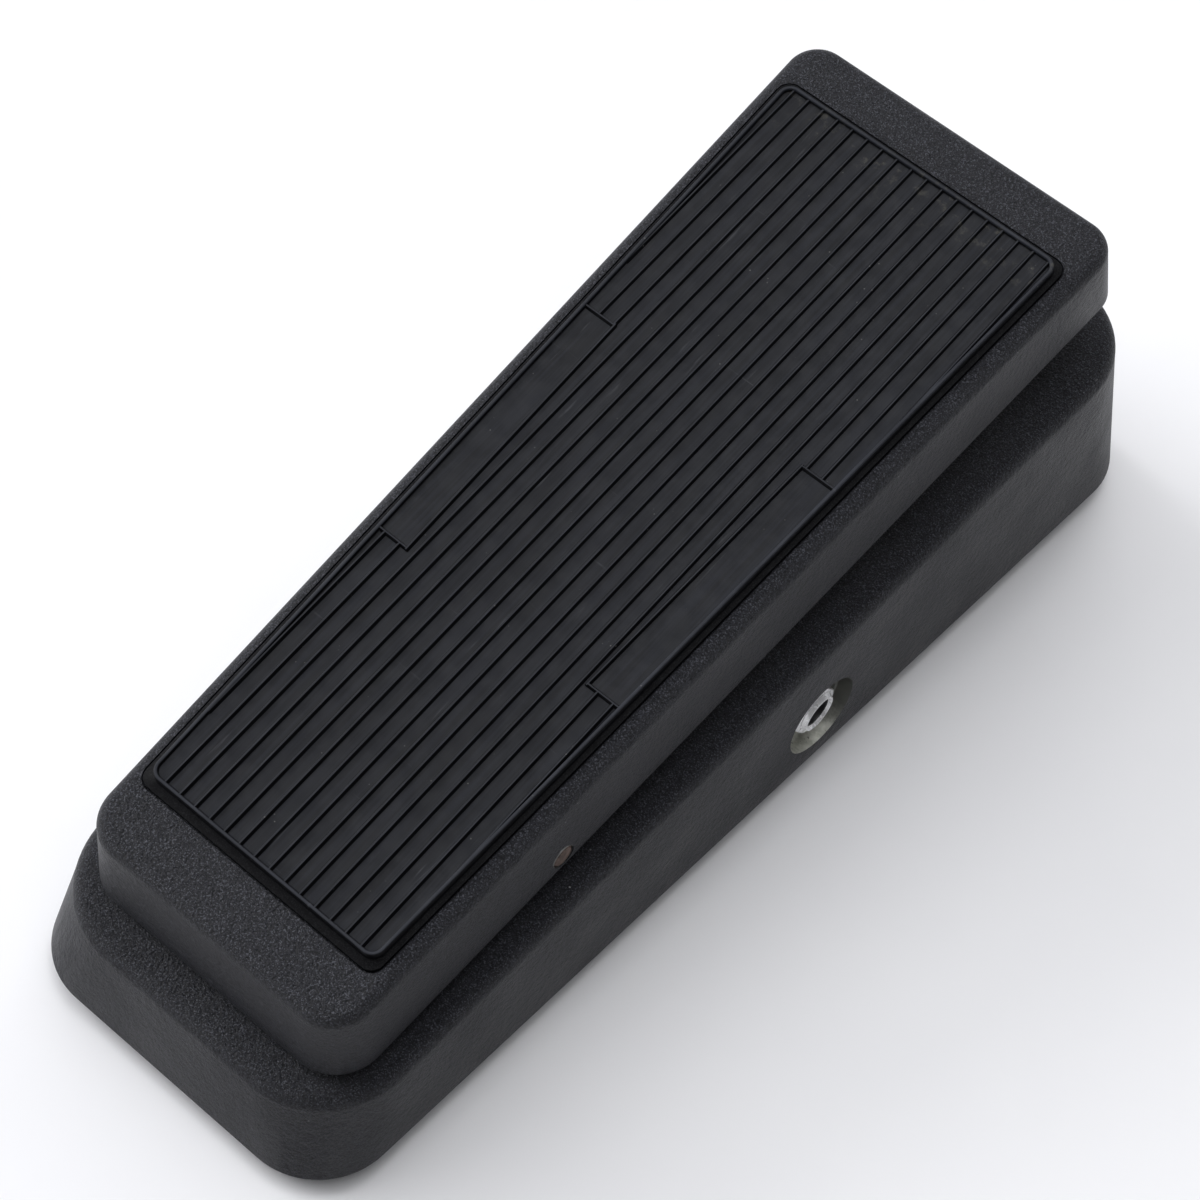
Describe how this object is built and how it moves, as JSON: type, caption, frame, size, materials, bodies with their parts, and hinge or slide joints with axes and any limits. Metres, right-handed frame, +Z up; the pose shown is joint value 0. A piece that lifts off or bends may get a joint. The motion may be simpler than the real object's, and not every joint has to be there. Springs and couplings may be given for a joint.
{
  "type": "rocker effects pedal",
  "caption": "Foot-rocked guitar effects pedal: die-cast wedge base, hinged ribbed treadle, rack-and-pinion control, toe switch, side jacks and a screwed bottom plate.",
  "frame": {"origin": "on the floor, under the centre of the base's bounding box", "axes": "+X to the player's right, +Y from heel to toe, +Z up"},
  "size_m": [0.1002, 0.254, 0.0868],
  "materials": {
    "black_powder_coat": "fine textured satin powder coat",
    "black_rubber": "satin black rubber with fine scuffs",
    "zinc_steel": "zinc plated sheet and screws",
    "bright_nut": "bright nickel plate",
    "brown_steel": "bare steel pin end with light rust",
    "white_nylon": "natural nylon",
    "black_plastic": "moulded black plastic",
    "green_board": "solder-masked laminate",
    "copper_ferrite": "varnished winding on a ferrite core",
    "blue_film": "dipped film",
    "battery_wrap": "plain printed-free can",
    "grey_foam": "open-cell foam",
    "red_wire": "pvc insulation"
  },
  "bodies": {
    "base": {"base_housing": "black_powder_coat", "battery": "battery_wrap", "battery_clip": "black_plastic", "battery_cushion": "grey_foam", "battery_lead": "red_wire", "board_screw_heel_left": "zinc_steel", "board_screw_heel_right": "zinc_steel", "board_screw_toe_left": "zinc_steel", "board_screw_toe_right": "zinc_steel", "bottom_plate": "zinc_steel", "bracket_screw_heel": "zinc_steel", "bracket_screw_toe": "zinc_steel", "capacitor_coupling": "blue_film", "capacitor_supply": "black_plastic", "capacitor_sweep": "blue_film", "circuit_board": "green_board", "control_body": "zinc_steel", "control_bracket": "zinc_steel", "control_nut": "bright_nut", "foot_heel_left": "black_rubber", "foot_heel_right": "black_rubber", "foot_screw_heel_left": "zinc_steel", "foot_screw_heel_right": "zinc_steel", "foot_screw_toe_left": "zinc_steel", "foot_screw_toe_right": "zinc_steel", "foot_toe_left": "black_rubber", "foot_toe_right": "black_rubber", "heel_bumper": "black_rubber", "inductor": "copper_ferrite", "input_jack": "black_plastic", "input_jack_nut": "bright_nut", "input_lead": "red_wire", "output_jack": "black_plastic", "output_jack_nut": "bright_nut", "output_lead": "red_wire", "pivot_bush_left": "white_nylon", "pivot_bush_right": "white_nylon", "rack_guide": "white_nylon", "switch_body": "black_plastic", "switch_nut": "bright_nut", "switch_washer": "zinc_steel", "transistor_first": "black_plastic", "transistor_second": "black_plastic"},
    "treadle": {"treadle": "black_powder_coat", "treadle_mat": "black_rubber", "toe_bumper": "black_rubber", "pivot_shaft": "brown_steel", "pivot_washer_left": "zinc_steel", "pivot_washer_right": "zinc_steel", "rack_clevis": "zinc_steel", "clevis_pin": "bright_nut", "clevis_screw_left": "zinc_steel", "clevis_screw_right": "zinc_steel"},
    "rack": {"rack": "white_nylon"},
    "pinion": {"pinion": "white_nylon", "control_shaft": "zinc_steel"},
    "plunger": {"switch_plunger": "bright_nut"}
  },
  "joints": [
    {"name": "treadle_hinge", "type": "hinge", "parent": "base", "child": "treadle", "pos_m": [0, -0.0554, 0.0426], "axis": [-1, 0, 0], "range_deg": [-1.8, 4.5]},
    {"name": "rack_slide", "type": "slide", "parent": "base", "child": "rack", "axis": [0, 0, 1], "range_m": [-0.0078, 0.0032]},
    {"name": "pinion_spin", "type": "hinge", "parent": "base", "child": "pinion", "pos_m": [0, 0.0496, 0.023], "axis": [1, 0, 0], "range_deg": [-36, 88.5]},
    {"name": "plunger_press", "type": "slide", "parent": "base", "child": "plunger", "axis": [0, 0.1227, -0.9924], "range_m": [0, 0.0022], "stiffness_N_per_m": 1500, "springref_m": -0.001}
  ],
  "couplings": [
    {"joint": "rack_slide", "follows": "treadle_hinge", "m_per_rad": -0.0969},
    {"joint": "pinion_spin", "follows": "treadle_hinge", "ratio": 19.38}
  ]
}
